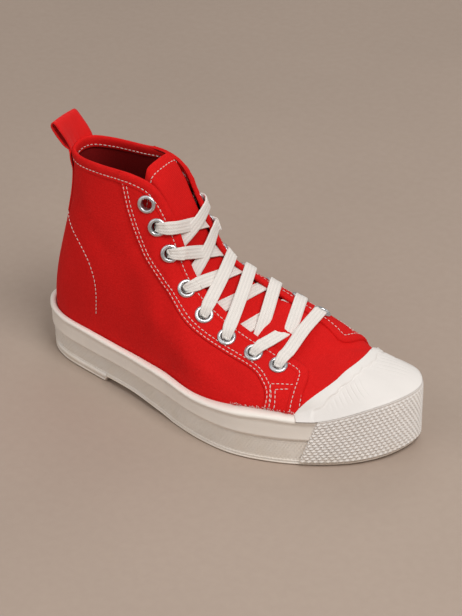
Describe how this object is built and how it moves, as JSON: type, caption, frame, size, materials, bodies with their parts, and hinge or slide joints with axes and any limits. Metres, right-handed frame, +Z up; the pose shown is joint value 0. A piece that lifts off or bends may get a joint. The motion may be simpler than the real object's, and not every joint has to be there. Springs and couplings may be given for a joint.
{
  "type": "canvas high-top sneaker",
  "caption": "Lace-up canvas high-top shoe for the right foot on a thick rubber cup sole with a studded toe bumper and toe cap.",
  "frame": {"origin": "centre of the bounding box on the floor under the sole", "axes": "+X from heel to toe, +Y towards the inner side (the left of this right shoe), +Z up"},
  "size_m": [0.2792, 0.1082, 0.1736],
  "materials": {
    "rubber": "off-white, matt, moulded",
    "canvas": "red cotton twill canvas",
    "lining": "plain woven insole cover",
    "cotton": "off-white flat woven cotton",
    "metal": "bright plated rings"
  },
  "bodies": {
    "root": {"outsole": "rubber", "foxing": "rubber", "toe_bumper": "rubber", "toe_cap": "rubber", "upper": "canvas", "tongue": "canvas", "insole": "lining", "pull_loop": "canvas", "lace_bar": "cotton", "lace_cross_1": "cotton", "lace_cross_2": "cotton", "lace_top_3": "cotton", "lace_below_3": "cotton", "lace_cross_4": "cotton", "lace_cross_5": "cotton", "lace_cross_6": "cotton", "eyelet_outer_1": "metal", "eyelet_outer_2": "metal", "eyelet_outer_3": "metal", "eyelet_outer_4": "metal", "eyelet_outer_5": "metal", "eyelet_outer_6": "metal", "eyelet_outer_7": "metal", "eyelet_outer_8": "metal", "eyelet_inner_1": "metal", "eyelet_inner_2": "metal", "eyelet_inner_3": "metal", "eyelet_inner_4": "metal", "eyelet_inner_5": "metal", "eyelet_inner_6": "metal", "eyelet_inner_7": "metal", "eyelet_inner_8": "metal"}
  },
  "joints": []
}
